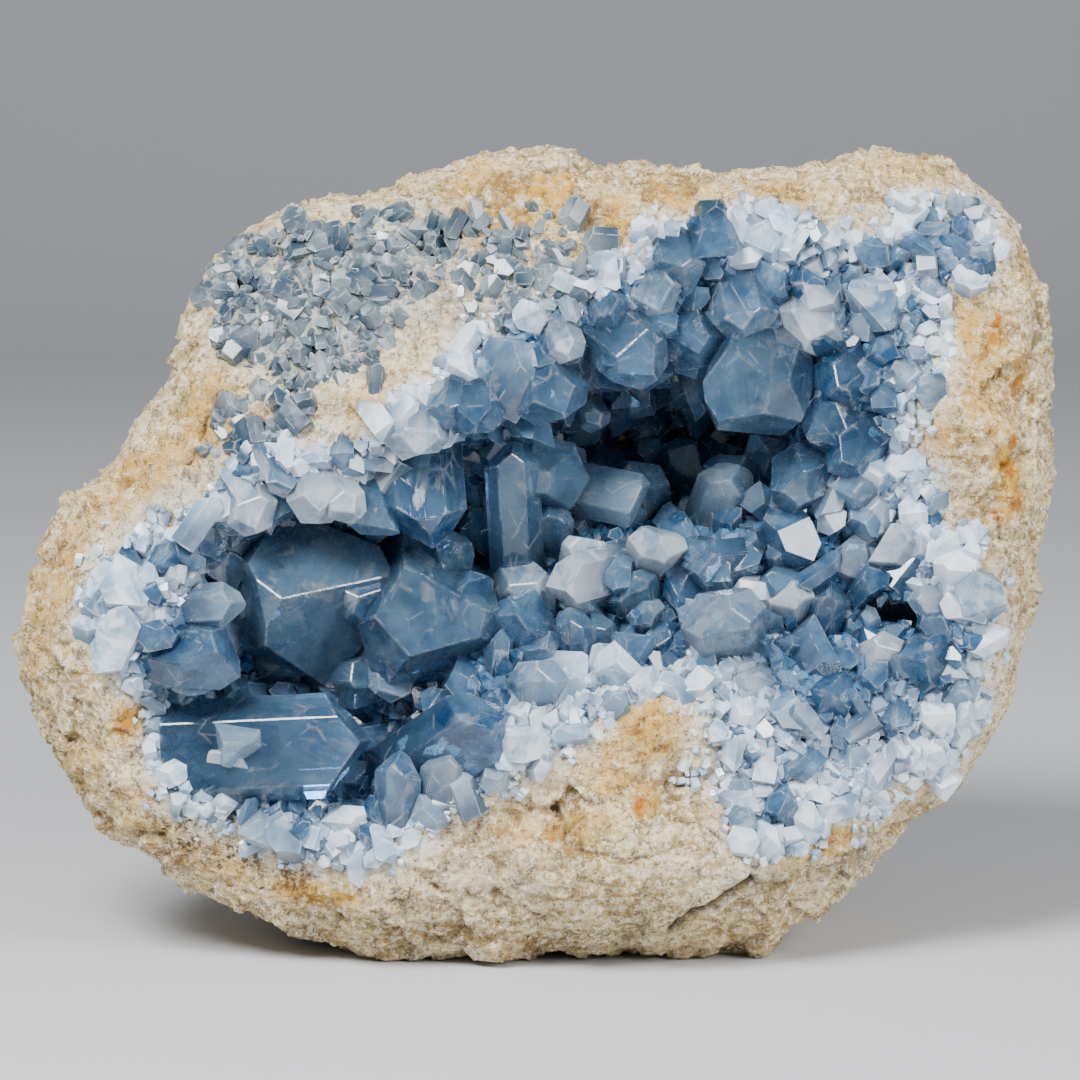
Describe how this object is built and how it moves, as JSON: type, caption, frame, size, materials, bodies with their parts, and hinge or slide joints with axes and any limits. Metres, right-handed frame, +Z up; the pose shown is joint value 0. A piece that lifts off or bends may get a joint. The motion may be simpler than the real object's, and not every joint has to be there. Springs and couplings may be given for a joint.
{
  "type": "celestite geode",
  "caption": "Broken-open limestone nodule that rests on a small flat spot, its deep hollow lined with blue celestite crystals.",
  "frame": {"origin": "centre of the object's box in X and Y, on the surface it rests on", "axes": "+Z up, +X to the right along the open face's width, and the open face looks towards -Y"},
  "size_m": [0.1611, 0.0931, 0.1254],
  "materials": {
    "limestone": "weathered, granular, dull",
    "celestite": "natural crystal faces, clear to cloudy",
    "pale_celestite": "small natural crystal faces, cloudy"
  },
  "bodies": {
    "root": {"rock_matrix": "limestone", "crystal_crust": "celestite", "upper_pocket_crust": "pale_celestite"}
  },
  "joints": []
}
